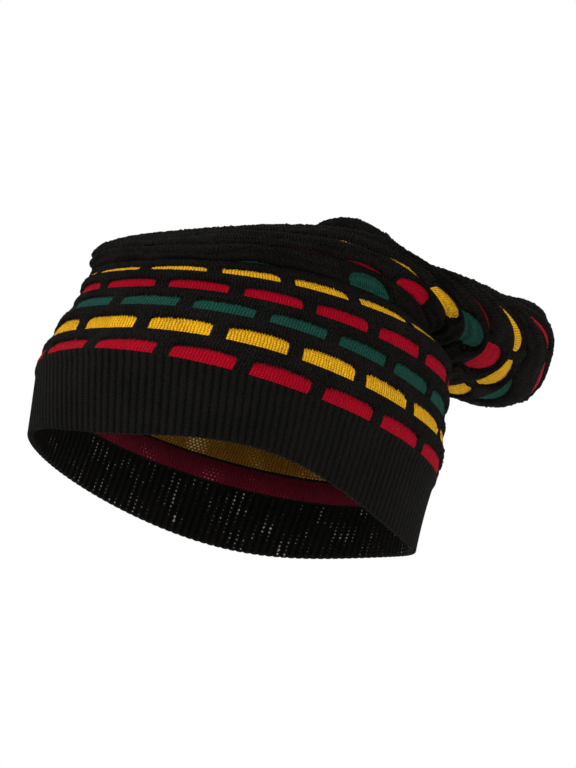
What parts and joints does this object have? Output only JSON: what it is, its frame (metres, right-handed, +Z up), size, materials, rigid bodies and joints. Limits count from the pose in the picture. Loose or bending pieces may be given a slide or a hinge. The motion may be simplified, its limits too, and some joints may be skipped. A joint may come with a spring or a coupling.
{
  "type": "slouchy knit rasta tam",
  "caption": "Slouchy knit cap in red, yellow and green stripes between black cords, with a black ribbed band, hollow and open at the rim.",
  "frame": {"origin": "centre of the rim opening, on the plane of the band's lower edge, where the head goes in", "axes": "+Z up as worn, -Y the front of the wearer, +X the wearer's left; the rim is tilted 17.8 degrees, front edge up"},
  "size_m": [0.1684, 0.2871, 0.1597],
  "materials": {
    "black_yarn": "matte ribbed acrylic knit",
    "red_yarn": "matte acrylic knit",
    "yellow_yarn": "matte acrylic knit",
    "green_yarn": "matte acrylic knit"
  },
  "bodies": {
    "root": {"gathered_tip": "black_yarn", "rib_band": "black_yarn", "stripe_01_red": "red_yarn", "stripe_02_yellow": "yellow_yarn", "stripe_03_green": "green_yarn", "stripe_04_red": "red_yarn", "stripe_05_yellow": "yellow_yarn", "stripe_06_green": "green_yarn", "stripe_07_red": "red_yarn", "stripe_08_yellow": "yellow_yarn", "stripe_09_green": "green_yarn", "stripe_10_red": "red_yarn", "stripe_11_yellow": "yellow_yarn", "stripe_12_green": "green_yarn", "stripe_13_red": "red_yarn", "stripe_14_yellow": "yellow_yarn", "stripe_15_green": "green_yarn", "stripe_16_red": "red_yarn", "stripe_17_yellow": "yellow_yarn", "stripe_18_green": "green_yarn"}
  },
  "joints": []
}
